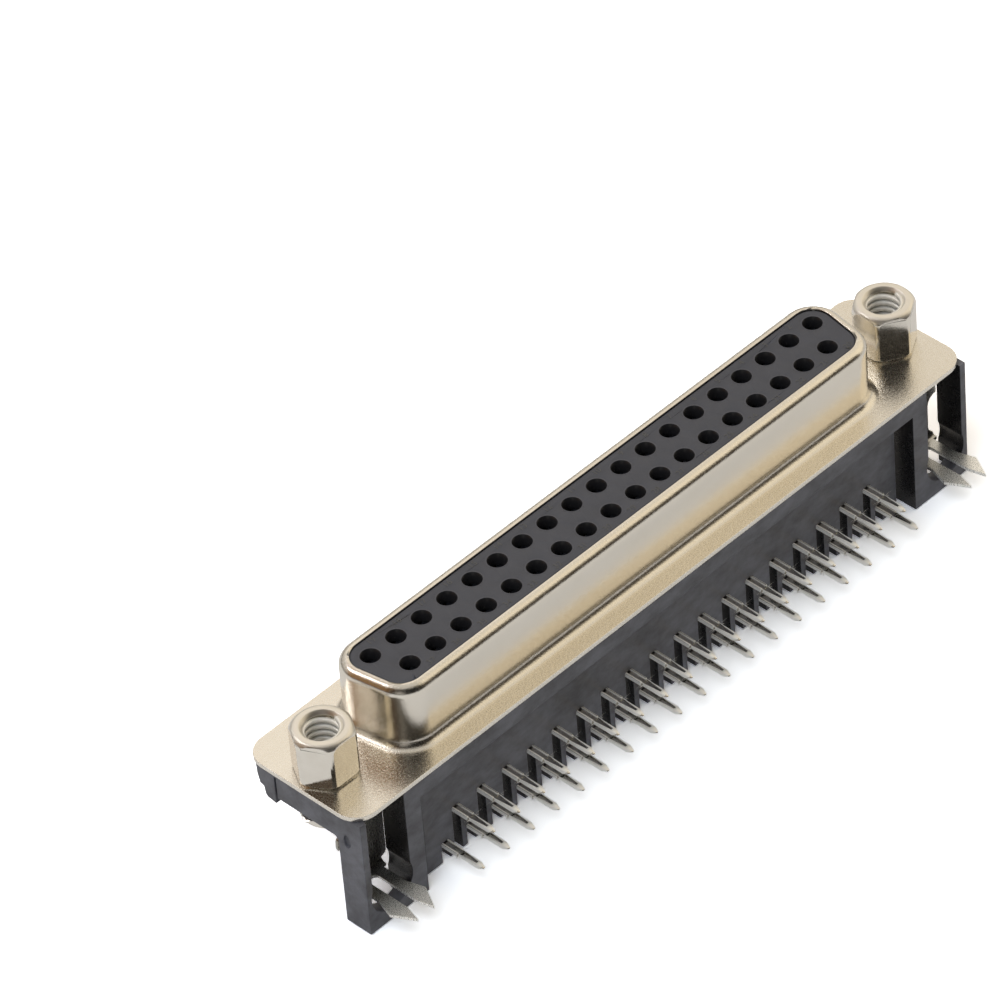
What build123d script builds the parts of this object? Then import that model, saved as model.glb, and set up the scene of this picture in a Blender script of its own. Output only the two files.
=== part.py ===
"""Right-angle socket connector of the D shape for a printed circuit board, with 37 contacts.

Millimetres. Z = 0 is the board's surface and +Z points away from it. X runs along the connector,
and the plug leaves along -Y. The origin is midway between the two board lock holes, which is
also midway between the two rows of tails.
"""

import os
from math import cos, radians, sqrt, tan

from build123d import *

# Contact pattern, seen from the mating side
contact_pitch = 2.77
contact_row_gap = 2.84
long_row_count = 19
short_row_count = 18

# Place of the socket over the board
axis_height = 6.15
tail_row_gap = 2.84
flange_to_tails = 7.20

# Front shell, drawn from one sheet
shell_sheet = 0.45
flange_past_hole = 2.91
flange_height = 12.30
flange_corner = 2.00
cup_past_row = 2.49
cup_height = 7.90
cup_corner = 2.60
cup_reach = 5.90
cup_end_lean = 10
cup_base_round = 0.85
hole_past_cup = 4.33
cup_rim_round = 0.40

# Front insulator
cup_to_insulator = 0.10
rim_to_face = 0.10
collar_margin = 0.50
collar_depth = 1.20
contact_hole_radius = 0.905

# Rear insulator
rear_collar_depth = 0.75
rear_body_past_row = 1.57
rear_body_height = 6.60
rear_body_corner = 1.20
rear_body_depth = 3.00
shank_clearance = 0.05

# Bracket, one moulding with an L section
leg_thickness = 2.65
leg_height = 11.15
foot_height = 2.60
foot_depth = 11.45
leg_foot_round = 0.50
window_clearance = 0.06
rail_depth = 1.60
comb_height = 1.15
comb_end_gap = 1.00
comb_setback = 0.08
slot_clearance = 0.03
block_inner_wall = 1.70
block_outer_wall = 0.65
pocket_half_width = 2.00
pocket_round_radius = 2.20
pocket_floor = 1.30

# Latch tongue over each end of the leg. Its back is drawn as steps rearward of the leg and up
# from the slit.
latch_height = 9.25
latch_slit = 0.20
latch_web = 0.50
latch_back = ((0.67, 0.00), (0.53, 0.91), (0.30, 1.12), (-0.41, 1.23), (-0.57, 1.64), (-1.50, 1.85))

# Contacts, stamped from strip, with two beams in front that grip the plug's pin
beam_gap = 0.96
beam_thickness = 0.28
beam_length = 5.00
beam_setback = 1.15
head_play = 0.03
strip_width = 0.76
strip_depth = 0.40
strip_bend = 0.80
shoulder_drop = 0.45
tail_width = 0.56
tail_drop = 3.00
tail_taper = 0.55
tail_tip_step = 0.16

# Hexagonal standoffs, with a stud behind and a tapped hole in front, and their nuts
hex_across_flats = 4.76
hex_turn = {"right": 30, "left": 0}
standoff_length = 4.45
hex_chamfer_angle = 60
tapped_radius = 1.28
tapped_depth = 3.60
tapped_mouth_radius = 1.74
tapped_mouth_angle = 90
stud_radius = 1.40
stud_clearance = 0.15
thread_clearance = 0.02
nut_thickness = 1.20
stud_past_nut = 0.30

# Board locks, folded from strip
lock_sheet = 0.30
lock_ring_radius = 2.40
lock_strap_width = 3.70
lock_plate_width = 4.78
lock_plate_corner = 0.50
lock_strap_height = 3.15
lock_bend = 0.55
lock_waist_half = 1.36
lock_waist_reach = 3.00
lock_waist_length = 4.00
lock_waist_round = 0.95
lock_waist_ahead = 2.30
lock_fork_y = 0.73
fork_root_height = 2.55
fork_half_width = 1.45
fork_slit_half = 0.48
fork_slit_top = 2.35
fork_slit_round = 0.40
fork_barb_start = 0.10
fork_barb_half = 1.96
fork_barb_drop = 1.55
fork_inner_drop = 2.00
fork_tip_half = 0.88
fork_tip_drop = 3.55
fork_corner = 0.15

# Stations along Y
front_tail_y = -tail_row_gap / 2
rear_tail_y = tail_row_gap / 2
flange_front_y = front_tail_y - flange_to_tails
flange_rear_y = flange_front_y + shell_sheet
cup_rim_y = flange_front_y - cup_reach
face_y = cup_rim_y + rim_to_face
collar_rear_y = flange_rear_y + collar_depth
rear_collar_y = collar_rear_y + rear_collar_depth
rear_body_y = rear_collar_y + rear_body_depth
leg_rear_y = flange_rear_y + leg_thickness
rail_rear_y = flange_rear_y + rail_depth
foot_rear_y = flange_rear_y + foot_depth
comb_rear_y = foot_rear_y - comb_setback
lock_rear_y = leg_rear_y + lock_sheet
nut_rear_y = lock_rear_y + nut_thickness
beam_front_y = face_y + beam_setback
beam_root_y = beam_front_y + beam_length
head_rear_y = collar_rear_y - head_play

# Heights of the contact's beams from its own axis
beam_inner = beam_gap / 2
beam_outer = beam_inner + beam_thickness

# Stations along X, from the long row's end contact outward
row_end_x = (long_row_count - 1) / 2 * contact_pitch
rear_body_width = 2 * (row_end_x + rear_body_past_row)
cup_width = 2 * (row_end_x + cup_past_row)
hole_x = cup_width / 2 + hole_past_cup
flange_width = 2 * (hole_x + flange_past_hole)
pocket_inner_x = hole_x - pocket_half_width
block_inner_x = pocket_inner_x - block_inner_wall
bracket_end_x = hole_x + pocket_half_width + block_outer_wall
comb_end_x = block_inner_x - comb_end_gap

# Contact axes, numbered from the +X end of the long row as on the real pattern
upper_row_z = axis_height + contact_row_gap / 2
lower_row_z = axis_height - contact_row_gap / 2
long_row = [((long_row_count - 1) / 2 - k) * contact_pitch for k in range(long_row_count)]
short_row = [((short_row_count - 1) / 2 - k) * contact_pitch for k in range(short_row_count)]
contact_axes = [(x, upper_row_z) for x in long_row] + [(x, lower_row_z) for x in short_row]
hole_axes = {"right": (hole_x, axis_height), "left": (-hole_x, axis_height)}

os.makedirs("parts", exist_ok=True)


def station(y):
    """The plane across the connector at this Y, facing the plug. Its axes are X and Z."""
    return Plane.XZ.offset(-y)


def write(piece, name):
    """Labels a finished piece and writes it as its own file."""
    piece.part.label = name
    export_step(piece.part, f"parts/{name}.step")


def d_outline(width, height, corner):
    """A D about the socket's axis, long side up, of this overall width and height."""
    lean = radians(cup_end_lean)
    corner_bulge = (height / 2 - corner) * tan(lean) + corner * (1 - 1 / cos(lean))
    middle = width / 2 - corner_bulge
    top = middle + height / 2 * tan(lean)
    bottom = middle - height / 2 * tan(lean)
    with BuildSketch() as outline:
        with BuildLine():
            Polyline(
                (-top, axis_height + height / 2),
                (top, axis_height + height / 2),
                (bottom, axis_height - height / 2),
                (-bottom, axis_height - height / 2),
                close=True,
            )
        make_face()
        fillet(outline.vertices(), corner)
    return outline.sketch_local


def at_station(y):
    """Picks the edges that lie wholly in the plane across the connector at this Y."""
    return lambda edge: abs(edge.bounding_box().min.Y - y) + abs(edge.bounding_box().max.Y - y) < 1e-4


# Front shell: a flange with a D cup drawn forward out of it. The cup's floor is punched out,
# which leaves a rounded rim.
with BuildPart() as front_shell:
    with BuildSketch(station(flange_rear_y)):
        with Locations((0, axis_height)):
            RectangleRounded(flange_width, flange_height, flange_corner)
    extrude(amount=shell_sheet)
    with BuildSketch(station(flange_front_y)):
        add(d_outline(cup_width, cup_height, cup_corner))
    extrude(amount=cup_reach)
    fillet(edges().filter_by(at_station(cup_rim_y)), cup_rim_round)
    front_edges = edges().filter_by(at_station(flange_front_y))
    cup_base = front_edges.filter_by(lambda edge: abs(edge.center().Z - axis_height) < flange_height / 2 - shell_sheet)
    cup_base = cup_base.filter_by(lambda edge: abs(edge.center().X) < hole_x)
    fillet(cup_base, cup_base_round)
    with BuildSketch(station(flange_rear_y)):
        add(d_outline(cup_width - 2 * shell_sheet, cup_height - 2 * shell_sheet, cup_corner - shell_sheet))
    extrude(amount=shell_sheet + cup_reach, mode=Mode.SUBTRACT)
    with BuildSketch(station(flange_rear_y)):
        with Locations(*hole_axes.values()):
            Circle(stud_radius + stud_clearance)
    extrude(amount=shell_sheet, mode=Mode.SUBTRACT)
write(front_shell, "front_shell")

# Front insulator: a D block that fills the cup, with a collar trapped behind the flange. A round
# hole runs through it for each contact, whose two beams stand clear of the hole's wall.
insulator_inset = 2 * (shell_sheet + cup_to_insulator)
with BuildPart(station(face_y)) as front_insulator:
    with BuildSketch(station(flange_rear_y)):
        add(d_outline(cup_width - insulator_inset, cup_height - insulator_inset, cup_corner - insulator_inset / 2))
    extrude(amount=flange_rear_y - face_y)
    with BuildSketch(station(collar_rear_y)):
        add(d_outline(cup_width + 2 * collar_margin, cup_height + 2 * collar_margin, cup_corner + collar_margin))
    extrude(amount=collar_depth)
    with Locations(*contact_axes):
        Hole(contact_hole_radius)
write(front_insulator, "front_insulator")

# Rear insulator: closes the cavities behind the contacts' beams. Its collar is clamped between the front
# insulator and the lip of the bracket's window, and its body stands out behind the leg.
with BuildPart() as rear_insulator:
    with BuildSketch(station(rear_collar_y)):
        add(d_outline(cup_width + 2 * collar_margin, cup_height + 2 * collar_margin, cup_corner + collar_margin))
    extrude(amount=rear_collar_depth)
    with BuildSketch(station(rear_body_y)):
        add(d_outline(rear_body_width, rear_body_height, rear_body_corner))
    extrude(amount=rear_body_depth)
    with BuildSketch(station(rear_body_y)):
        with Locations(*contact_axes):
            Rectangle(strip_width + 2 * shank_clearance, strip_depth + 2 * shank_clearance)
    extrude(amount=rear_body_y - collar_rear_y, mode=Mode.SUBTRACT)
write(rear_insulator, "rear_insulator")

# Bracket: an upright leg behind the flange and a foot along the board. The foot's middle is a
# comb that lines up the tails, and each end is a block with a pocket for the board lock.
with BuildPart() as bracket:
    with BuildSketch(Plane.YZ.offset(-bracket_end_x)) as leg_and_foot:
        with BuildLine():
            Polyline(
                (flange_rear_y, 0),
                (foot_rear_y, 0),
                (foot_rear_y, foot_height),
                (leg_rear_y, foot_height),
                (leg_rear_y, leg_height),
                (flange_rear_y, leg_height),
                close=True,
            )
        make_face()
        fillet(vertices().sort_by_distance((leg_rear_y, foot_height))[0], leg_foot_round)
    extrude(amount=2 * bracket_end_x)

    # Latch tongue: the leg's top is slit from behind, and the part over the slit has a sloping
    # back that overhangs at its lower edge. It ends where the window starts.
    latch_span = bracket_end_x - block_inner_x
    for latch_x in (-bracket_end_x, block_inner_x):
        with BuildSketch(Plane.YZ.offset(latch_x)):
            with Locations((flange_rear_y + latch_web, latch_height - latch_slit)):
                Rectangle(leg_thickness, leg_height, align=(Align.MIN, Align.MIN))
        extrude(amount=latch_span, mode=Mode.SUBTRACT)
        with BuildSketch(Plane.YZ.offset(latch_x)):
            with BuildLine():
                Polyline(
                    (flange_rear_y, leg_height),
                    (flange_rear_y, latch_height),
                    *[(leg_rear_y + back, latch_height + up) for back, up in latch_back],
                    close=True,
                )
            make_face()
        extrude(amount=latch_span)

    # Comb: raised off the board behind the rail, open at both ends, slit back from each tail
    comb_depth = foot_rear_y - rail_rear_y
    comb_middle_y = (foot_rear_y + rail_rear_y) / 2
    with BuildSketch(Plane.XY):
        with Locations((0, comb_middle_y)):
            Rectangle(2 * block_inner_x, comb_depth)
    extrude(amount=comb_height, mode=Mode.SUBTRACT)
    with BuildSketch(Plane.XY):
        for side in (-1, 1):
            with Locations((side * (comb_end_x + comb_end_gap / 2), comb_middle_y)):
                Rectangle(comb_end_gap, comb_depth)
        with Locations((0, foot_rear_y)):
            Rectangle(2 * block_inner_x, 2 * comb_setback)
    extrude(amount=foot_height, mode=Mode.SUBTRACT)
    with BuildSketch(Plane.XY):
        for tail_y, row in ((rear_tail_y, long_row), (front_tail_y, short_row)):
            slot_front_y = tail_y - strip_depth / 2 - slot_clearance
            with Locations(*[(x, (slot_front_y + foot_rear_y) / 2) for x in row]):
                Rectangle(strip_width + 2 * slot_clearance, foot_rear_y - slot_front_y)
    extrude(amount=foot_height, mode=Mode.SUBTRACT)

    # Pockets: open to the board and through the foot, round behind the board lock's fork
    for side in (-1, 1):
        with BuildSketch(Plane.XY):
            with Locations((side * hole_x, flange_rear_y / 2)):
                Rectangle(2 * pocket_half_width, -flange_rear_y)
            with Locations((side * hole_x, 0)):
                Circle(pocket_round_radius)
        extrude(amount=foot_height, mode=Mode.SUBTRACT)
        with BuildSketch(Plane.XY.offset(pocket_floor)):
            with Locations((side * hole_x, foot_rear_y / 2)):
                Rectangle(2 * pocket_half_width, foot_rear_y)
        extrude(amount=foot_height - pocket_floor, mode=Mode.SUBTRACT)

    # Window for both insulators, with a lip at its back, and the two stud holes
    window_margin = 2 * (collar_margin + window_clearance)
    with BuildSketch(station(rear_collar_y)):
        add(d_outline(cup_width + window_margin, cup_height + window_margin, cup_corner + window_margin / 2))
    extrude(amount=rear_collar_y - flange_rear_y, mode=Mode.SUBTRACT)
    with BuildSketch(station(leg_rear_y + leg_foot_round)):
        window_width = rear_body_width + 2 * window_clearance
        window_height = rear_body_height + 2 * window_clearance
        add(d_outline(window_width, window_height, rear_body_corner + window_clearance))
    extrude(amount=leg_rear_y + leg_foot_round - rear_collar_y, mode=Mode.SUBTRACT)
    with BuildSketch(station(leg_rear_y)):
        with Locations(*hole_axes.values()):
            Circle(stud_radius + stud_clearance)
    extrude(amount=leg_thickness, mode=Mode.SUBTRACT)
write(bracket, "bracket")

# Contacts: two beams on a head inside the insulator, then a strip that turns down through the
# comb and steps in to a narrow tail with a tapered tip.
for number, (contact_x, contact_z) in enumerate(contact_axes, start=1):
    tail_y = rear_tail_y if contact_z == upper_row_z else front_tail_y
    with BuildPart() as contact:
        with BuildSketch(Plane.YZ.offset(contact_x)):
            with BuildLine():
                Polyline(
                    (head_rear_y, contact_z + beam_outer),
                    (beam_front_y, contact_z + beam_outer),
                    (beam_front_y, contact_z + beam_inner),
                    (beam_root_y, contact_z + beam_inner),
                    (beam_root_y, contact_z - beam_inner),
                    (beam_front_y, contact_z - beam_inner),
                    (beam_front_y, contact_z - beam_outer),
                    (head_rear_y, contact_z - beam_outer),
                    close=True,
                )
            make_face()
        extrude(amount=strip_width / 2, both=True)
        with BuildLine(Plane.YZ.offset(contact_x)):
            FilletPolyline(
                (head_rear_y, contact_z),
                (tail_y, contact_z),
                (tail_y, -shoulder_drop),
                radius=strip_bend,
            )
        with BuildSketch(station(head_rear_y)):
            with Locations((contact_x, contact_z)):
                Rectangle(strip_width, strip_depth)
        sweep()
        with BuildSketch(Plane.XY.offset(-shoulder_drop)):
            with Locations((contact_x, tail_y)):
                Rectangle(tail_width, strip_depth)
        extrude(amount=shoulder_drop - tail_drop)
        tip = faces().sort_by(Axis.Z)[0]
        chamfer(tip.edges(), length=tail_tip_step, length2=tail_taper, reference=tip)
    write(contact, f"contact_{number:02d}")


# Board locks: a ring behind the bracket's leg, then a strap that steps back over the pocket, where
# it is widest, and turns down into a fork. A notch in its outer edge lets it flex, and the fork's
# two prongs spring together in the board's hole.
fork_half = (
    (fork_half_width, fork_root_height),
    (fork_half_width, fork_barb_start),
    (fork_barb_half, -fork_barb_drop),
    (fork_tip_half, -fork_tip_drop),
    (fork_slit_half, -fork_inner_drop),
    (fork_slit_half, fork_slit_top),
)
fork_outline = list(fork_half) + [(-x, z) for x, z in reversed(fork_half)]
for side, (axis_x, axis_z) in hole_axes.items():
    neck_y = leg_rear_y + lock_sheet / 2
    neck_top = axis_z - sqrt(lock_ring_radius**2 - (lock_strap_width / 2) ** 2)
    with BuildPart() as board_lock:
        with BuildSketch(station(lock_rear_y)):
            with Locations((axis_x, axis_z)):
                Circle(lock_ring_radius)
        extrude(amount=lock_sheet)
        with BuildLine(Plane.YZ.offset(axis_x)):
            FilletPolyline(
                (neck_y, neck_top),
                (neck_y, lock_strap_height),
                (lock_fork_y, lock_strap_height),
                (lock_fork_y, fork_root_height),
                radius=lock_bend,
            )
        with BuildSketch(Plane.XY.offset(neck_top)):
            with Locations((axis_x, neck_y)):
                Rectangle(lock_strap_width, lock_sheet)
        sweep()
        plate_length = lock_fork_y - neck_y - 2 * lock_bend
        with BuildSketch(Plane.XY.offset(lock_strap_height - lock_sheet / 2)):
            with Locations((axis_x, (neck_y + lock_fork_y) / 2)):
                RectangleRounded(lock_plate_width, plate_length, lock_plate_corner)
        extrude(amount=lock_sheet)
        with BuildSketch(Plane.XY.offset(neck_top)):
            outward = axis_x / hole_x
            waist_x = axis_x + outward * (lock_waist_half + lock_waist_reach / 2)
            with Locations((waist_x, lock_fork_y - lock_waist_ahead)):
                RectangleRounded(lock_waist_reach, lock_waist_length, lock_waist_round)
        extrude(amount=fork_root_height - neck_top, mode=Mode.SUBTRACT)
        with BuildSketch(station(lock_fork_y + lock_sheet / 2)):
            with Locations((axis_x, 0)):
                Polygon(*fork_outline, align=None)
            slit_top = vertices().group_by(Axis.Y)[-2]
            tips = vertices().group_by(Axis.Y)[0]
            fillet(slit_top, fork_slit_round)
            fillet(tips, fork_corner)
        extrude(amount=lock_sheet)
        with BuildSketch(station(lock_rear_y)):
            with Locations((axis_x, axis_z)):
                Circle(stud_radius + stud_clearance)
        extrude(amount=lock_sheet, mode=Mode.SUBTRACT)
    write(board_lock, f"board_lock_{side}")

# Standoffs and nuts: each standoff's stud runs through the shell, the bracket's leg, the board
# lock's ring and its nut, and holds them together. A cone turns off the hexagon's front corners.
bar_front_y = flange_front_y - standoff_length
stud_rear_y = nut_rear_y + stud_past_nut
for side, (axis_x, axis_z) in hole_axes.items():
    with BuildPart(station(bar_front_y)) as standoff:
        with BuildSketch(station(bar_front_y)):
            with Locations((axis_x, axis_z)):
                RegularPolygon(hex_across_flats / 2, 6, major_radius=False, rotation=hex_turn[side])
        extrude(amount=-standoff_length)
        with BuildSketch(station(bar_front_y)):
            with Locations((axis_x, axis_z)):
                Circle(hex_across_flats / 2)
        extrude(amount=-standoff_length, taper=-hex_chamfer_angle, mode=Mode.INTERSECT)
        with Locations((axis_x, axis_z)):
            CounterSinkHole(tapped_radius, tapped_mouth_radius, tapped_depth, tapped_mouth_angle)
        with BuildSketch(station(stud_rear_y)):
            with Locations((axis_x, axis_z)):
                Circle(stud_radius)
        extrude(amount=stud_rear_y - flange_front_y)
    write(standoff, f"standoff_{side}")

    with BuildPart() as nut:
        with BuildSketch(station(nut_rear_y)):
            with Locations((axis_x, axis_z)):
                RegularPolygon(hex_across_flats / 2, 6, major_radius=False)
        extrude(amount=nut_thickness)
        with BuildSketch(station(nut_rear_y)):
            with Locations((axis_x, axis_z)):
                Circle(stud_radius + thread_clearance)
        extrude(amount=nut_thickness, mode=Mode.SUBTRACT)
    write(nut, f"nut_{side}")
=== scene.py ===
from math import radians

import bpy
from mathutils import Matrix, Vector


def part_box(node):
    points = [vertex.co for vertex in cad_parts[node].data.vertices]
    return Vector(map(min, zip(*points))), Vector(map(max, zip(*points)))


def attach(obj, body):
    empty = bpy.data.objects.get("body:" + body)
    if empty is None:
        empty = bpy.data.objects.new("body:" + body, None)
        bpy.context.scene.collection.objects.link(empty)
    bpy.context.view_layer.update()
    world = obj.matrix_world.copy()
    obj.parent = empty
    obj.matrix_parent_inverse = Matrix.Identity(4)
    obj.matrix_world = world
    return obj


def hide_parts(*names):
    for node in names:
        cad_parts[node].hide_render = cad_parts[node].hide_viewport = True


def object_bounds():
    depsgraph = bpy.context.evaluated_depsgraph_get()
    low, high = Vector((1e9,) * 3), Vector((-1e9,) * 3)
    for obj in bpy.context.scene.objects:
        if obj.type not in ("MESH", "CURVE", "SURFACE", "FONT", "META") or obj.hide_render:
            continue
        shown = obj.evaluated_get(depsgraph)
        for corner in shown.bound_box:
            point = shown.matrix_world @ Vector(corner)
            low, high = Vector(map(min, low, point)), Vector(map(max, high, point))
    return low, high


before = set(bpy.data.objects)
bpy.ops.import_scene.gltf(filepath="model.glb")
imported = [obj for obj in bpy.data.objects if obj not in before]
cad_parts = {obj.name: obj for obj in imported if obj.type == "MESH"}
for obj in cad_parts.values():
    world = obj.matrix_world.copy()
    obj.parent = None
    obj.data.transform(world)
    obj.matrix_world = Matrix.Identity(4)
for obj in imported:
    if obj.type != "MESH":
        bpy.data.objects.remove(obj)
solid_low, solid_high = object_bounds()
bpy.ops.object.select_all(action="DESELECT")


# The front shell is drawn from one sheet of steel, so its cup and flange meet in a generous
# curve and the cup's rim is rolled over. It is plated with nickel and keeps the fine grain of
# the rolled sheet.
mm = 0.001
hair = 0.001 * mm
same_point = 0.0001 * mm


class Flow:
    """One output of a finish's node. Sums with it add Math nodes."""

    def __init__(self, finish, socket):
        self.finish = finish
        self.socket = socket

    def _sum(self, operation, first, second):
        return self.finish.node("ShaderNodeMath", {"operation": operation}, {0: first, 1: second})

    def __add__(self, other):
        return self._sum("ADD", self, other)

    def __sub__(self, other):
        return self._sum("SUBTRACT", self, other)

    def __rsub__(self, other):
        return self._sum("SUBTRACT", other, self)

    def __mul__(self, other):
        return self._sum("MULTIPLY", self, other)

    def __gt__(self, other):
        return self._sum("GREATER_THAN", self, other)

    def __lt__(self, other):
        return self._sum("LESS_THAN", self, other)

    __radd__ = __add__
    __rmul__ = __mul__


class Finish:
    """A material with one surface shader, and the means to draw patterns for it."""

    def __init__(self, name):
        self.material = bpy.data.materials.new(name)
        self.material.use_nodes = True
        self.tree = self.material.node_tree
        self.shader = self.tree.nodes["Principled BSDF"]
        self.place = self.node("ShaderNodeTexCoord", output="Object")

    def node(self, kind, settings=None, values=None, output=0):
        """Adds a node, its settings first and then its values or links, and gives one output."""
        made = self.tree.nodes.new(kind)
        for key, value in (settings or {}).items():
            setattr(made, key, value)
        for key, value in (values or {}).items():
            self.feed(made, key, value)
        return Flow(self, made.outputs[output])

    def feed(self, made, key, value):
        """Links a node's socket to a pattern, or sets it to a number or a colour."""
        if isinstance(value, Flow):
            self.tree.links.new(value.socket, made.inputs[key])
        elif isinstance(value, tuple) and len(value) == 3 and made.inputs[key].type == "RGBA":
            made.inputs[key].default_value = (*value, 1)
        else:
            made.inputs[key].default_value = value

    def set(self, **values):
        """Sets the surface shader's sockets, each named in small letters."""
        for key, value in values.items():
            self.feed(self.shader, key.replace("_", " ").title().replace("Ior", "IOR"), value)

    def along(self, axis):
        """How far along X, Y or Z a point of the surface is, in metres."""
        return self.node("ShaderNodeSeparateXYZ", None, {0: self.place}, output="XYZ".index(axis))

    def stretched(self, x, y, z):
        """The object's place, with each axis divided by a length, so a pattern repeats over it."""
        return self.node(
            "ShaderNodeMapping", None, {"Vector": self.place, "Scale": (1 / x, 1 / y, 1 / z)}
        )

    def cloud(self, x, y, z, detail=2, roughness=0.5):
        """Soft noise from 0 to 1 whose blotches are about x by y by z."""
        return self.node(
            "ShaderNodeTexNoise",
            None,
            {"Vector": self.stretched(x, y, z), "Scale": 1.0, "Detail": detail, "Roughness": roughness},
        )

    def between(self, value, low, high):
        """Goes from 0 to 1 as the value goes from low to high."""
        return self.node(
            "ShaderNodeMapRange", None, {"Value": value, "From Min": low, "From Max": high}
        )

    def blend(self, share, first, second):
        """A colour that goes from the first to the second as the share goes from 0 to 1."""
        return self.node(
            "ShaderNodeMix", {"data_type": "RGBA"}, {0: share, 6: first, 7: second}, output=2
        )

    def relief(self, height, depth):
        """Turns a height pattern into a bump of that depth."""
        return self.node(
            "ShaderNodeBump", None, {"Height": height, "Strength": 1.0, "Distance": depth}
        )


def picked(piece):
    """Makes a piece the only one that the next operator acts on."""
    bpy.ops.object.select_all(action="DESELECT")
    piece.select_set(True)
    bpy.context.view_layer.objects.active = piece


def edit(piece, test=None):
    """Opens a piece in edit mode with all of it selected, or only the faces that pass a test."""
    picked(piece)
    bpy.ops.object.mode_set(mode="EDIT")
    bpy.ops.mesh.select_mode(type="FACE")
    bpy.ops.mesh.select_all(action="SELECT" if test is None else "DESELECT")
    if test is not None:
        bpy.ops.object.mode_set(mode="OBJECT")
        for face in piece.data.polygons:
            face.select = test(face)
        bpy.ops.object.mode_set(mode="EDIT")
        bpy.ops.mesh.select_mode(type="FACE")


def edit_edges(piece, test):
    """Opens a piece in edit mode with only the edges selected that pass a test."""
    edit(piece)
    bpy.ops.mesh.select_mode(type="EDGE")
    bpy.ops.mesh.select_all(action="DESELECT")
    bpy.ops.object.mode_set(mode="OBJECT")
    for edge in piece.data.edges:
        edge.select = test(edge)
        if edge.select:
            for end in edge.vertices:
                piece.data.vertices[end].select = True
    bpy.ops.object.mode_set(mode="EDIT")


def copied(node, name, whole_faces=True):
    """A copy of a solid, with its loose triangles joined. A face with many holes stays in triangles."""
    piece = bpy.data.objects.new(name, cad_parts[node].data.copy())
    bpy.context.collection.objects.link(piece)
    edit(piece)
    bpy.ops.mesh.remove_doubles(threshold=hair)
    if whole_faces:
        bpy.ops.mesh.dissolve_limited(angle_limit=radians(1))
    bpy.ops.mesh.normals_make_consistent(inside=False)
    bpy.ops.object.mode_set(mode="OBJECT")
    return piece


def eased(piece, width, segments=2, angle=35):
    """Eases a piece's sharp edges by a width and smooths its shading."""
    picked(piece)
    bpy.ops.object.modifier_add(type="BEVEL")
    ease = piece.modifiers[-1]
    ease.width = width
    ease.segments = segments
    ease.limit_method = "ANGLE"
    ease.angle_limit = radians(angle)
    ease.use_clamp_overlap = False
    bpy.ops.object.modifier_apply(modifier=ease.name)
    edit(piece)
    bpy.ops.mesh.remove_doubles(threshold=same_point)
    bpy.ops.mesh.dissolve_degenerate(threshold=same_point)
    bpy.ops.object.mode_set(mode="OBJECT")
    bpy.ops.object.shade_smooth_by_angle(angle=radians(angle))
    bpy.ops.object.modifier_add(type="WEIGHTED_NORMAL")
    flat_first = piece.modifiers[-1]
    flat_first.keep_sharp = True
    flat_first.weight = 100
    bpy.ops.object.modifier_apply(modifier=flat_first.name)
    return piece


def fitted(piece, finish, slot, *nodes):
    """Gives a piece its finish and its place in the model, where it stands for these solids."""
    piece.data.materials.clear()
    piece.data.materials.append(finish.material)
    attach(piece, "root")
    if nodes:
        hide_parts(*nodes)


shell_finish = Finish("shell nickel")
sheet_grain = shell_finish.cloud(0.17 * mm, 0.17 * mm, 0.17 * mm, detail=3, roughness=0.7)
sheet_tone = shell_finish.cloud(7 * mm, 3 * mm, 2 * mm, detail=3)
draw_lines = shell_finish.cloud(9 * mm, 0.9 * mm, 0.5 * mm, detail=3)
shell_low, shell_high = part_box("front_shell")
rim_y = shell_low[1]
sheet_thickness = 0.45 * mm
flange_y = shell_high[1] - sheet_thickness
shell_y = shell_finish.along("Y")
unburnished = shell_finish.between(shell_y, flange_y - 1.0 * mm, flange_y - 0.2 * mm)
rolled = shell_finish.between(shell_y, rim_y + 0.9 * mm, rim_y + 0.2 * mm)
plated = shell_finish.blend(sheet_tone, (0.78, 0.74, 0.66), (0.85, 0.82, 0.76))
speck = shell_finish.between(sheet_grain, 0.35, 0.65)
frosted = speck * (0.25 + unburnished * 0.35 + rolled * 0.3)
shell_finish.set(
    base_color=shell_finish.blend(frosted, plated, (0.92, 0.90, 0.86)),
    metallic=1.0,
    roughness=0.11 + speck * 0.05 + draw_lines * 0.03 + unburnished * 0.12 + rolled * 0.10,
    normal=shell_finish.relief(sheet_grain, 0.013 * mm),
)
shell = copied("front_shell", "drawn_shell")
rim_round = 0.80 * mm
rim_lip = 0.06 * mm
lip_depth = 0.09 * mm
axis_z = 6.15 * mm
straight_half = 23.0 * mm


def is_outer(face):
    """True for a face of the cup whose outside faces away from the cup's middle line."""
    middle = Vector((max(-straight_half, min(straight_half, face.center.x)), face.center.y, axis_z))
    return face.normal.dot(face.center - middle) > 0


# The rim is rolled: the wall is cut back, drawn forward again, rounded over and left as a lip.
cut_y = rim_y + rim_round + rim_lip
edit(shell)
bpy.ops.mesh.bisect(
    plane_co=(0, cut_y, 0), plane_no=(0, 1, 0), clear_inner=True, threshold=same_point
)
bpy.ops.object.mode_set(mode="OBJECT")
outer_edges = {key for face in shell.data.polygons if is_outer(face) for key in face.edge_keys}
inner_edges = {key for face in shell.data.polygons if not is_outer(face) for key in face.edge_keys}


def is_cut_outside(edge):
    """True for an edge of the cut wall that only its outside has."""
    ends = [shell.data.vertices[i].co.y for i in edge.vertices]
    at_cut = max(abs(y - cut_y) for y in ends) < hair
    return at_cut and edge.key in outer_edges and edge.key not in inner_edges


def is_rim_front(face):
    """True for the flat that closes the rim's mouth."""
    at_front = face.normal.y < -0.99 and abs(face.center.y - rim_y) < hair
    return at_front and face.area > 100 * mm * mm


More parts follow.
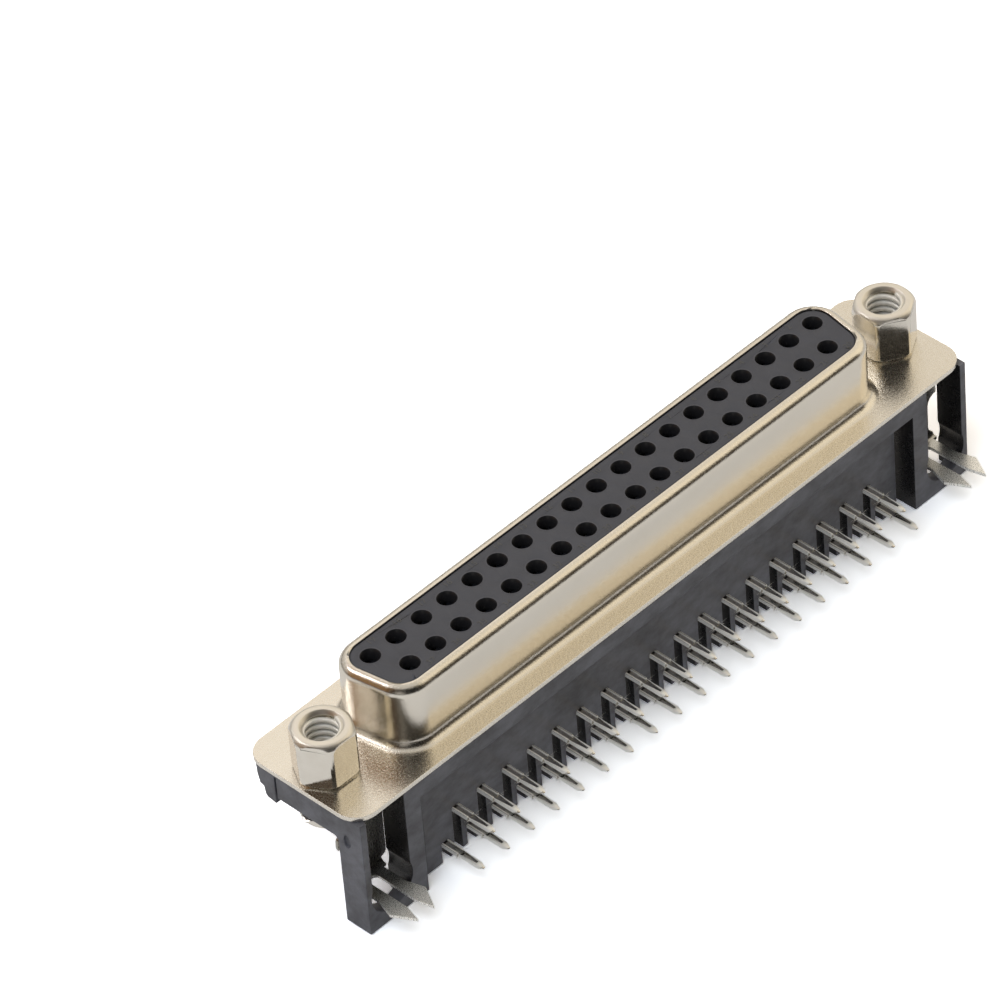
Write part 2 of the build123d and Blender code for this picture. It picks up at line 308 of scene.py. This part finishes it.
edit_edges(shell, is_cut_outside)
bpy.ops.mesh.extrude_region_move(TRANSFORM_OT_translate={"value": (0, -rim_round - rim_lip, 0)})
bpy.ops.mesh.edge_face_add()
bpy.ops.mesh.bevel(offset=rim_round, segments=8, affect="EDGES", clamp_overlap=False)
bpy.ops.mesh.select_all(action="SELECT")
bpy.ops.mesh.normals_make_consistent(inside=False)
bpy.ops.object.mode_set(mode="OBJECT")
edit(shell, is_rim_front)
bpy.ops.mesh.inset(thickness=rim_lip, depth=0)
bpy.ops.mesh.extrude_region_move(TRANSFORM_OT_translate={"value": (0, lip_depth, 0)})
bpy.ops.mesh.delete(type="ONLY_FACE")
bpy.ops.mesh.select_mode(type="EDGE")
bpy.ops.mesh.select_all(action="DESELECT")
bpy.ops.mesh.select_non_manifold()
bpy.ops.mesh.bridge_edge_loops()
bpy.ops.mesh.select_all(action="SELECT")
bpy.ops.mesh.normals_make_consistent(inside=False)
bpy.ops.object.mode_set(mode="OBJECT")
eased(shell, 0.06 * mm, angle=30)
fitted(shell, shell_finish, "shell_nickel", "front_shell")

# The front insulator is glass-filled plastic, moulded in matt dark grey. Its block fills the
# cup, and each contact's hole has a funnel at its mouth that leads the plug's pin in.
insulator_finish = Finish("insulator plastic")
insulator_grain = insulator_finish.cloud(0.10 * mm, 0.10 * mm, 0.10 * mm, detail=3)
insulator_tone = insulator_finish.cloud(2.4 * mm, 2.4 * mm, 2.4 * mm)
insulator_finish.set(
    base_color=insulator_finish.blend(insulator_tone, (0.055, 0.058, 0.071), (0.073, 0.077, 0.093)),
    roughness=0.46 + insulator_grain * 0.14,
    specular_ior_level=0.4,
    normal=insulator_finish.relief(insulator_grain, 0.006 * mm),
)
face_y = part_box("front_insulator")[0][1]
face_chamfer = 0.44 * mm
holes_end_z = 3.0 * mm
holes_end_x = 25.4 * mm
block = copied("front_insulator", "front_insulator_block", whole_faces=False)
block_sides = [face for face in block.data.polygons if is_outer(face) and abs(face.normal.y) < 0.5]
side_edges = {key for face in block_sides for key in face.edge_keys}


def is_block_border(edge):
    """True for an edge where the block's face meets its sides, clear of the holes."""
    ends = [block.data.vertices[i].co for i in edge.vertices]
    on_face = max(abs(end.y - face_y) for end in ends) < hair
    near_wall = all(abs(end.z - axis_z) > holes_end_z or abs(end.x) > holes_end_x for end in ends)
    return on_face and near_wall and edge.key in side_edges


edit_edges(block, is_block_border)
bpy.ops.mesh.bevel(offset=face_chamfer, segments=1, affect="EDGES", clamp_overlap=False)
bpy.ops.object.mode_set(mode="OBJECT")
eased(block, 0.04 * mm)
fitted(block, insulator_finish, "insulator_plastic", "front_insulator")


def turned(name, place, radius, steps, corners=32):
    """A ring or plug turned about an axis along Y. Each step goes rearward and ends at a radius."""
    bpy.ops.object.select_all(action="DESELECT")
    bpy.ops.mesh.primitive_circle_add(
        vertices=corners, radius=radius, location=place, rotation=(radians(90), 0, 0)
    )
    piece = bpy.context.object
    piece.name = name
    bpy.ops.object.transform_apply(location=True, rotation=True, scale=True)
    bpy.ops.object.mode_set(mode="EDIT")
    bpy.ops.mesh.select_mode(type="EDGE")
    bpy.ops.mesh.select_all(action="SELECT")
    for rearward, next_radius in steps:
        bpy.ops.mesh.extrude_region_move(TRANSFORM_OT_translate={"value": (0, rearward, 0)})
        share = next_radius / radius
        bpy.ops.transform.resize(value=(share, share, share))
        radius = next_radius
    bpy.ops.object.mode_set(mode="OBJECT")
    return piece


def closed(piece):
    """Closes a turned piece: joins its ends where they meet and fills them where they don't."""
    edit(piece)
    bpy.ops.mesh.remove_doubles(threshold=2 * hair)
    bpy.ops.mesh.select_mode(type="EDGE")
    bpy.ops.mesh.select_all(action="DESELECT")
    bpy.ops.mesh.select_non_manifold()
    if piece.data.total_edge_sel:
        bpy.ops.mesh.edge_face_add()
    bpy.ops.mesh.select_all(action="SELECT")
    bpy.ops.mesh.normals_make_consistent(inside=False)
    bpy.ops.object.mode_set(mode="OBJECT")
    return piece


def copy_to(piece, name, offset, up=0):
    """Another of a piece, with its own mesh, moved along X and up."""
    twin = piece.copy()
    twin.data = piece.data.copy()
    twin.name = name
    bpy.context.collection.objects.link(twin)
    picked(twin)
    twin.location = (offset, 0, up)
    bpy.ops.object.transform_apply(location=True, rotation=True, scale=True)
    return twin


def middle_x(node):
    """Where along X the middle of a solid is."""
    low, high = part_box(node)
    return (low[0] + high[0]) / 2


contact_count = 37
lower_first = 20
contact_x = {n: middle_x(f"contact_{n:02d}") for n in range(1, contact_count + 1)}
upper_z = 7.57 * mm
lower_z = 4.73 * mm
hole_radius = 0.905 * mm
lip_radius = hole_radius + 0.045 * mm
proud_y = face_y - 0.006 * mm
mouth = turned(
    "contact_mouth",
    (0, proud_y, 0),
    lip_radius,
    (
        (0, 0.83 * mm),
        (0.05 * mm, 0.79 * mm),
        (0.36 * mm, 0.60 * mm),
        (0.60 * mm, 0.60 * mm),
        (0, 0.90 * mm),
        (-0.94 * mm, 0.90 * mm),
        (-0.07 * mm, lip_radius),
    ),
)
closed(mouth)
bpy.ops.object.shade_smooth_by_angle(angle=radians(30))
# Inside the funnels the plastic is painted near black, a painted shade for the depth of the holes, and
# is a little glossier. Only the thin ring that stands proud at the face keeps the face's colour.
mouth_finish = Finish("mouth plastic with painted shade")
mouth_cloud = mouth_finish.cloud(0.4 * mm, 0.4 * mm, 0.4 * mm)
face_side = mouth_finish.along("Y") < face_y
funnel_painted_shade = mouth_finish.blend(mouth_cloud, (0.008, 0.008, 0.009), (0.016, 0.016, 0.018))
mouth_finish.set(
    base_color=mouth_finish.blend(face_side, funnel_painted_shade, (0.064, 0.067, 0.082)),
    roughness=0.30 + face_side * 0.22,
)
for number, x in contact_x.items():
    z = upper_z if number < lower_first else lower_z
    fitted(copy_to(mouth, f"contact_mouth_{number:02d}", x, z), mouth_finish, "insulator_plastic")
bpy.data.objects.remove(mouth)

# The contact numbers are moulded on the face beside the holes, in the same plastic, and stand
# a hundredth of a millimetre proud. Handling has rubbed them a little pale.
digits = []
beside = 1.20 * mm
outside = 1.10 * mm
for number, x in contact_x.items():
    z = upper_z + outside if number < lower_first else lower_z - outside
    bpy.ops.object.select_all(action="DESELECT")
    bpy.ops.object.text_add(location=(x + beside, proud_y, z), rotation=(radians(90), 0, 0))
    digit = bpy.context.object
    digit.data.body = str(number)
    digit.data.size = 0.78 * mm
    digit.data.extrude = 0.016 * mm
    digit.data.resolution_u = 3
    digit.data.align_x = "CENTER"
    digit.data.align_y = "CENTER"
    bpy.ops.object.convert(target="MESH")
    bpy.ops.object.transform_apply(location=True, rotation=True, scale=True)
    digits.append(bpy.context.object)
bpy.ops.object.select_all(action="DESELECT")
for digit in digits:
    digit.select_set(True)
bpy.context.view_layer.objects.active = digits[0]
bpy.ops.object.join()
numbers = bpy.context.object
numbers.name = "contact_numbers"
edit(numbers)
bpy.ops.mesh.remove_doubles(threshold=hair / 2)
bpy.ops.mesh.normals_make_consistent(inside=False)
bpy.ops.object.mode_set(mode="OBJECT")
number_finish = Finish("rubbed plastic")
rubbed = number_finish.cloud(0.3 * mm, 0.3 * mm, 0.3 * mm)
number_finish.set(
    base_color=number_finish.blend(rubbed, (0.055, 0.055, 0.056), (0.10, 0.10, 0.10)),
    roughness=0.5,
)
fitted(numbers, number_finish, "insulator_plastic")

# The rear insulator is moulded in the same plastic. It shows behind the leg, where the contacts
# leave it.
rear_block = eased(copied("rear_insulator", "rear_insulator_block", whole_faces=False), 0.08 * mm)
fitted(rear_block, insulator_finish, "insulator_plastic", "rear_insulator")

# The bracket is one black moulding, semi-gloss from its polished mould. A round mark on each end
# is where an ejector pin pushed it out.
bracket_finish = Finish("bracket plastic")
bracket_grain = bracket_finish.cloud(0.12 * mm, 0.12 * mm, 0.12 * mm, detail=3)
bracket_flow = bracket_finish.cloud(3.5 * mm, 2.2 * mm, 2.2 * mm, detail=5, roughness=0.65)
bracket_streak = bracket_finish.between(bracket_flow, 0.30, 0.72)
# Inside the left end, every face that looks towards -X is painted near black and a little glossier:
# painted shade on the slot sides that the neighbouring teeth shadow.
facing = bracket_finish.node("ShaderNodeNewGeometry", output="Normal")
facing_x = bracket_finish.node("ShaderNodeSeparateXYZ", None, {0: facing})
inside_end_x = -33.5 * mm
slot_painted_shade = bracket_finish.between(facing_x, -0.5, -0.8) * (bracket_finish.along("X") > inside_end_x)
moulded_tone = bracket_finish.blend(bracket_streak, (0.040, 0.041, 0.050), (0.145, 0.150, 0.175))
bracket_finish.set(
    base_color=bracket_finish.blend(slot_painted_shade, moulded_tone, (0.005, 0.005, 0.006)),
    roughness=0.28 + bracket_grain * 0.10 + bracket_flow * 0.14 - slot_painted_shade * 0.12,
    normal=bracket_finish.relief(bracket_grain, 0.004 * mm),
)


def cut(piece, tool, operation):
    """Cuts a piece with a tool, or keeps only what they share, and takes the tool away."""
    picked(piece)
    bpy.ops.object.modifier_add(type="BOOLEAN")
    shaping = piece.modifiers[-1]
    shaping.operation = operation
    shaping.object = tool
    shaping.solver = "EXACT"
    bpy.ops.object.modifier_apply(modifier=shaping.name)
    bpy.data.objects.remove(tool)


bracket = copied("bracket", "moulded_bracket")
bracket_low, bracket_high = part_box("bracket")
mark_radius = 0.64 * mm
mark_depth = 0.22 * mm
mark_flatness = 0.56
for end_x in (bracket_low[0], bracket_high[0]):
    mark = (end_x, -5.65 * mm, 1.62 * mm)
    bpy.ops.object.select_all(action="DESELECT")
    bpy.ops.mesh.primitive_cylinder_add(
        vertices=36,
        radius=mark_radius,
        depth=2 * mark_depth,
        location=mark,
        rotation=(0, radians(90), 0),
    )
    pin = bpy.context.object
    bpy.ops.object.transform_apply(location=True, rotation=True, scale=True)
    edit(pin)
    bpy.ops.transform.resize(value=(1, 1, mark_flatness), center_override=mark)
    bpy.ops.object.mode_set(mode="OBJECT")
    cut(bracket, pin, "DIFFERENCE")
eased(bracket, 0.06 * mm)
fitted(bracket, bracket_finish, "bracket_plastic", "bracket")

# The contacts are stamped from bronze strip and plated. Each strip is coined to a shallow
# channel on the inside of its bend, which stiffens it, and ends in a narrow tail.
contact_finish = Finish("contact plate")
plate_cloud = contact_finish.cloud(0.5 * mm, 0.5 * mm, 1.6 * mm, detail=3)
plate_grain = contact_finish.cloud(0.05 * mm, 0.05 * mm, 0.30 * mm, detail=2)
# Where the contacts show behind the insulator, their rounded edges are painted pale, rougher and less
# metallic: a painted highlight along each edge.
pointed = contact_finish.node("ShaderNodeNewGeometry", output="Pointiness")
hole_rear_y = -6.9 * mm
painted_edge_highlight = contact_finish.between(pointed, 0.51, 0.56) * (contact_finish.along("Y") > hole_rear_y)
plate_tone = contact_finish.blend(plate_cloud, (0.74, 0.73, 0.68), (0.90, 0.89, 0.85))
contact_finish.set(
    base_color=contact_finish.blend(painted_edge_highlight, plate_tone, (0.97, 0.96, 0.92)),
    metallic=1.0 - painted_edge_highlight * 0.5,
    roughness=0.12 + plate_cloud * 0.08 + plate_grain * 0.06 + painted_edge_highlight * 0.2,
    normal=contact_finish.relief(plate_grain, 0.002 * mm),
)
head_rear_y = -6.95 * mm
shoulder_z = -0.45 * mm
channel_margin = 0.20 * mm
channel_slope = 0.05 * mm
channel_depth = 0.12 * mm


def is_inside_of_bend(face):
    """True for a strip's face on the inside of its bend, between its head and its tail."""
    across = abs(face.normal.x) < 0.1
    behind_head = face.center.y > head_rear_y
    above_tail = face.center.z > shoulder_z
    inner = face.normal.z + face.normal.y < -0.9
    return across and behind_head and above_tail and inner


for first, last in ((1, lower_first - 1), (lower_first, contact_count)):
    pattern = copied(f"contact_{first:02d}", "contact_pattern")
    edit(pattern, is_inside_of_bend)
    bpy.ops.mesh.inset(thickness=channel_margin, depth=0, use_even_offset=True)
    bpy.ops.mesh.inset(thickness=channel_slope, depth=-channel_depth, use_even_offset=True)
    bpy.ops.object.mode_set(mode="OBJECT")
    eased(pattern, 0.06 * mm)
    for number in range(first, last + 1):
        offset = contact_x[number] - contact_x[first]
        contact = copy_to(pattern, f"plated_contact_{number:02d}", offset)
        fitted(contact, contact_finish, "contact_plate", f"contact_{number:02d}")
    bpy.data.objects.remove(pattern)

# The board locks are stamped and folded from spring steel strip, and plated. Their cut edges
# are a little rounded from the press.
lock_finish = Finish("board lock plate")
lock_grain = lock_finish.cloud(0.06 * mm, 0.5 * mm, 0.06 * mm, detail=3)
lock_cloud = lock_finish.cloud(1.5 * mm, 1.5 * mm, 1.5 * mm)
# The strap above the board face is painted a dull grey, a painted shade for the pocket it lies in. Down
# the forks towards the tips the plate is painted paler and less metallic, a painted light on the forks,
# with a random mottle.
lock_height = lock_finish.along("Z")
strap_painted_shade = lock_finish.between(lock_height, 2.3 * mm, 2.9 * mm)
fork_painted_light = lock_finish.between(lock_height, 0.8 * mm, -2.6 * mm)
fork_light_and_mottle = fork_painted_light + (lock_cloud - 0.5) * 0.3
plate_with_painted_light = lock_finish.blend(fork_light_and_mottle, (0.62, 0.63, 0.62), (0.96, 0.95, 0.91))
lock_finish.set(
    base_color=lock_finish.blend(strap_painted_shade, plate_with_painted_light, (0.44, 0.43, 0.40)),
    metallic=0.92 + strap_painted_shade * 0.08 - fork_painted_light * 0.36,
    roughness=0.20 + lock_grain * 0.16,
    normal=lock_finish.relief(lock_grain, 0.003 * mm),
)
for side in ("left", "right"):
    lock = eased(copied(f"board_lock_{side}", f"spring_lock_{side}"), 0.045 * mm)
    fitted(lock, lock_finish, "lock_plate", f"board_lock_{side}")

# The standoffs are turned from hexagonal bar and plated with bright nickel. A stud behind each
# one runs through to its nut, and its front is tapped for the plug's screw.
turned_finish = Finish("bright nickel")
turning_rings = turned_finish.cloud(3 * mm, 0.05 * mm, 3 * mm, detail=2)
turned_cloud = turned_finish.cloud(1.2 * mm, 1.2 * mm, 1.2 * mm)
front_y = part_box("standoff_left")[0][1]
# The faced front is rougher from the facing cut, and is also painted paler: a painted highlight on the
# front ring and its chamfer.
faced_and_painted_bright = turned_finish.between(turned_finish.along("Y"), front_y + 0.5 * mm, front_y + 0.2 * mm)
turned_finish.set(
    base_color=turned_finish.blend(turned_cloud + faced_and_painted_bright * 0.6, (0.78, 0.75, 0.69), (0.90, 0.88, 0.83)),
    metallic=1.0,
    roughness=0.08 + turning_rings * 0.05 + turned_cloud * 0.05 + faced_and_painted_bright * 0.30,
    normal=turned_finish.relief(turning_rings, 0.001 * mm),
)
thread_finish = Finish("tapped nickel")
tapped_cloud = thread_finish.cloud(0.3 * mm, 0.3 * mm, 0.3 * mm)
thread_finish.set(
    base_color=thread_finish.blend(tapped_cloud, (0.86, 0.84, 0.78), (0.97, 0.95, 0.90)),
    metallic=0.5,
    roughness=0.30 + tapped_cloud * 0.12,
)
bar_radius = 2.748 * mm
bar_length = 4.45 * mm
bore_radius = 1.46 * mm
stud_radius = 1.40 * mm
thread_pitch = 0.635 * mm
thread_radius = 1.44 * mm
thread_ridge = 0.17 * mm
thread_start = 0.30 * mm


def hexagon(name, place, length, turn, softness):
    """A length of hexagonal bar along Y, from this place rearward, with its edges softened."""
    bpy.ops.object.select_all(action="DESELECT")
    bpy.ops.mesh.primitive_cylinder_add(
        vertices=6,
        radius=bar_radius,
        depth=length,
        location=(place[0], place[1] + length / 2, place[2]),
        rotation=(radians(90), radians(turn), 0),
    )
    bar = bpy.context.object
    bar.name = name
    bpy.ops.object.transform_apply(location=True, rotation=True, scale=True)
    edit(bar, lambda face: abs(face.normal.y) < 0.5)
    bpy.ops.mesh.select_mode(type="EDGE")
    bpy.ops.mesh.bevel(offset=softness, segments=4, affect="EDGES")
    bpy.ops.object.mode_set(mode="OBJECT")
    return bar


for side, turn in (("left", 30), ("right", 0)):
    axis_x = middle_x(f"standoff_{side}")
    stud_end_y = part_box(f"standoff_{side}")[1][1]
    axis = (axis_x, front_y, axis_z)
    standoff = hexagon(f"hex_standoff_{side}", axis, bar_length, turn, 0.20 * mm)
    rounding = closed(
        turned(
            "rounding",
            axis,
            2.08 * mm,
            (
                (0.03 * mm, 2.20 * mm),
                (0.05 * mm, 2.30 * mm),
                (0.08 * mm, 2.40 * mm),
                (0.12 * mm, 2.50 * mm),
                (0.16 * mm, 2.59 * mm),
                (0.22 * mm, 2.65 * mm),
                (bar_length - 0.96 * mm, 2.65 * mm),
                (0.12 * mm, 2.56 * mm),
                (0.10 * mm, 2.40 * mm),
                (0.08 * mm, 2.30 * mm),
            ),
            corners=64,
        )
    )
    cut(standoff, rounding, "INTERSECT")
    bore = closed(
        turned(
            "bore",
            (axis_x, front_y - 0.05 * mm, axis_z),
            1.80 * mm,
            (
                (0.05 * mm, 1.74 * mm),
                (0.30 * mm, bore_radius),
                (3.30 * mm, bore_radius),
                (0.50 * mm, 0.60 * mm),
            ),
            corners=48,
        )
    )
    cut(standoff, bore, "DIFFERENCE")
    eased(standoff, 0.04 * mm, angle=28)
    fitted(standoff, turned_finish, "standoff_nickel", f"standoff_{side}")

    stud = closed(
        turned(
            f"stud_{side}",
            (axis_x, front_y + bar_length - 0.2 * mm, axis_z),
            stud_radius,
            ((stud_end_y - front_y - bar_length, stud_radius), (0.20 * mm, 1.18 * mm)),
        )
    )
    eased(stud, 0.03 * mm)
    fitted(stud, turned_finish, "standoff_nickel")

    bpy.ops.object.select_all(action="DESELECT")
    bpy.ops.mesh.primitive_circle_add(
        vertices=4, radius=thread_ridge, location=(axis_x, front_y + thread_start, axis_z)
    )
    thread = bpy.context.object
    thread.name = f"thread_{side}"
    bpy.ops.object.mode_set(mode="EDIT")
    bpy.ops.mesh.select_mode(type="EDGE")
    bpy.ops.mesh.select_all(action="SELECT")
    bpy.ops.transform.resize(value=(1, 1.8, 1))
    bpy.ops.transform.translate(value=(thread_radius, 0, 0))
    bpy.ops.object.mode_set(mode="OBJECT")
    bpy.ops.object.modifier_add(type="SCREW")
    helix = thread.modifiers[-1]
    helix.axis = "Y"
    helix.screw_offset = thread_pitch
    helix.iterations = 4
    helix.steps = 40
    helix.render_steps = 40
    bpy.ops.object.modifier_apply(modifier=helix.name)
    bpy.ops.object.transform_apply(location=True, rotation=True, scale=True)
    closed(thread)
    fitted(thread, thread_finish, "standoff_nickel")

# The nuts behind the bracket are cut from the same bar and plated, with their corners chamfered
# at both ends. Each one holds the stud of a standoff.
nut_hole_radius = 1.42 * mm
nut_turn = 30
spare = 0.1 * mm
for side in ("left", "right"):
    nut_low, nut_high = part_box(f"nut_{side}")
    nut_x = middle_x(f"nut_{side}")
    depth = nut_high[1] - nut_low[1]
    nut = hexagon(f"hex_nut_{side}", (nut_x, nut_low[1], axis_z), depth, nut_turn, 0.06 * mm)
    corner = closed(
        turned(
            "corner",
            (nut_x, nut_low[1], axis_z),
            2.34 * mm,
            (
                (0.22 * mm, 2.80 * mm),
                (0.18 * mm, 2.60 * mm),
                (0.30 * mm, 2.40 * mm),
                (depth - 0.70 * mm, 1.90 * mm),
            ),
            corners=64,
        )
    )
    cut(nut, corner, "INTERSECT")
    hole = closed(
        turned(
            "hole",
            (nut_x, nut_low[1] - spare, axis_z),
            nut_hole_radius,
            ((depth + 2 * spare, nut_hole_radius),),
            corners=40,
        )
    )
    cut(nut, hole, "DIFFERENCE")
    bpy.ops.object.shade_smooth_by_angle(angle=radians(28))
    fitted(nut, turned_finish, "nut_nickel", f"nut_{side}")

# The table that the connector lies on, back down. It is white, fades to plain paper away from
# the connector, and is one-sided so that the connector's back can be seen through it.
table_finish = Finish("table white")
table_finish.set(roughness=0.9)
table_gap = 0.07 * mm
bpy.ops.object.select_all(action="DESELECT")
bpy.ops.mesh.primitive_plane_add(
    size=2.4, location=(0, solid_high[1] + table_gap, 0), rotation=(radians(90), 0, 0)
)
table = bpy.context.object
table.name = "table"
table.data.materials.append(table_finish.material)


def ray_is(kind):
    """1 for a ray of this kind and 0 for others."""
    return table_finish.node("ShaderNodeLightPath", output=f"Is {kind} Ray")


def glow(strength):
    """White light that the table gives off."""
    values = {"Color": (1.0, 1.0, 1.0), "Strength": strength}
    return table_finish.node("ShaderNodeEmission", None, values)


see_through = table_finish.node("ShaderNodeBsdfTransparent")
behind = table_finish.node("ShaderNodeNewGeometry", output="Backfacing")
seen = ray_is("Camera")
reflected = ray_is("Glossy")
soft = ray_is("Diffuse")
shade = ray_is("Shadow")
table_tone = 0.66
tone_seen = {0: table_tone + seen * 1.13, 1: table_tone + seen * 1.19, 2: table_tone + seen * 1.30}
table_finish.set(base_color=table_finish.node("ShaderNodeCombineXYZ", None, tone_seen))
surface = Flow(table_finish, table_finish.shader.outputs[0])
lift = glow(seen * 0.04 + reflected * 0.08)
lit = table_finish.node("ShaderNodeAddShader", None, {0: surface, 1: lift})
away = table_finish.node(
    "ShaderNodeVectorMath", {"operation": "LENGTH"}, {0: table_finish.place}, output=1
)
far = table_finish.between(away, 0.06, 0.12) * seen
faded = table_finish.node("ShaderNodeMixShader", None, {0: far, 1: lit, 2: glow(1.0)})
gone = behind + soft + shade > 0.5
either_side = table_finish.node("ShaderNodeMixShader", None, {0: gone, 1: faded, 2: see_through})
table_finish.tree.links.new(
    either_side.socket, table_finish.tree.nodes["Material Output"].inputs["Surface"]
)

# Soft studio light: a pale glow from behind that falls off to a dark, brownish room at the
# left, a lighter room at the right, and three softboxes. The camera sees plain white.
world = bpy.data.worlds.new("studio")
bpy.context.scene.world = world
world.use_nodes = True
sky = world.node_tree


def sky_node(kind, settings=None, values=None):
    """A node of the sky, its settings first and then its values or links."""
    made = sky.nodes.new(kind)
    for key, value in (settings or {}).items():
        setattr(made, key, value)
    for key, value in (values or {}).items():
        if isinstance(value, bpy.types.NodeSocket):
            sky.links.new(value, made.inputs[key])
        else:
            made.inputs[key].default_value = value
    return made


direction = sky_node("ShaderNodeTexCoord").outputs["Generated"]
parts = sky_node("ShaderNodeSeparateXYZ", None, {0: direction})


def ease_in(axis, start, end):
    """From 0 to 1 as the direction's part along an axis goes from start to end."""
    values = {"Value": parts.outputs[axis], "From Min": start, "From Max": end}
    range_node = sky_node("ShaderNodeMapRange", {"interpolation_type": "SMOOTHSTEP"}, values)
    return range_node.outputs["Result"]


def mixed(share, first, second):
    """A colour of the sky that goes from the first to the second with the share."""
    return sky_node("ShaderNodeMix", {"data_type": "RGBA"}, {0: share, 6: first, 7: second}).outputs[2]


dark = (0.04, 0.03, 0.02, 1)
left_wall = mixed(ease_in("Z", -0.30, 0.60), (0.010, 0.009, 0.008, 1), (0.32, 0.18, 0.08, 1))
left_room = mixed(ease_in("Z", 0.58, 0.78), left_wall, (0.55, 0.51, 0.46, 1))
right_glow = mixed(ease_in("Z", -0.4, 0.5), (1.00, 0.87, 0.66, 1), (0.80, 0.72, 0.60, 1))
right_room = mixed(ease_in("Z", -0.71, -0.57), dark, right_glow)
side_glow = mixed(ease_in("Z", -0.42, -0.26), (0.42, 0.39, 0.35, 1), left_room)
side_room = mixed(ease_in("X", -0.76, -0.56), side_glow, left_room)
front_room = mixed(ease_in("X", 0.10, 0.48), side_room, right_room)
facing_room = mixed(ease_in("Y", -0.96, -0.82), (0.60, 0.56, 0.50, 1), front_room)
end_room = mixed(ease_in("X", 0.66, 0.86), dark, (0.50, 0.47, 0.42, 1))
low_room = mixed(ease_in("Y", -0.26, -0.02), facing_room, end_room)
room = mixed(ease_in("Y", 0.0, 0.03), low_room, (0.62, 0.62, 0.63, 1))
lamp = sky_node("ShaderNodeBackground", None, {"Color": room, "Strength": 1.0})
white = sky_node("ShaderNodeBackground", None, {"Color": (1, 1, 1, 1)})
in_view = sky_node("ShaderNodeLightPath").outputs["Is Camera Ray"]
either = sky_node("ShaderNodeMixShader", None, {0: in_view, 1: lamp.outputs[0], 2: white.outputs[0]})
sky.links.new(either.outputs[0], sky.nodes["World Output"].inputs["Surface"])


def softbox(name, place, width, height, watts):
    """A rectangular lamp that faces the connector from a place."""
    bpy.ops.object.light_add(type="AREA", location=place)
    box = bpy.context.object
    box.name = name
    box.data.shape = "RECTANGLE"
    box.data.size = width
    box.data.size_y = height
    box.data.energy = watts
    box.rotation_euler = (-box.location).to_track_quat("-Z", "Y").to_euler()
    return box


softbox("key softbox", (0.10, -0.36, 0.30), 0.30, 0.30, 0.085)
fill = softbox("fill softbox", (-0.55, -0.75, -0.15), 0.8, 0.8, 5.4)
fill.data.color = (0.90, 0.95, 1.0)
fill.visible_glossy = False
softbox("edge light", (-0.21, -0.47, 0.31), 0.14, 0.22, 0.42)

# The camera looks down on the face and the underside of the connector from the left, with a
# long lens, and its picture shows the colours as they are.
bpy.ops.object.camera_add(
    location=(-284.40 * mm, -381.64 * mm, -287.03 * mm),
    rotation=(radians(141.718), radians(46.075), radians(5.214)),
)
camera = bpy.context.object
camera.data.sensor_width = 36
camera.data.lens = 256.5
camera.data.clip_start = 0.01
camera.data.clip_end = 10
bpy.context.scene.camera = camera

bpy.context.scene.view_settings.view_transform = "Standard"
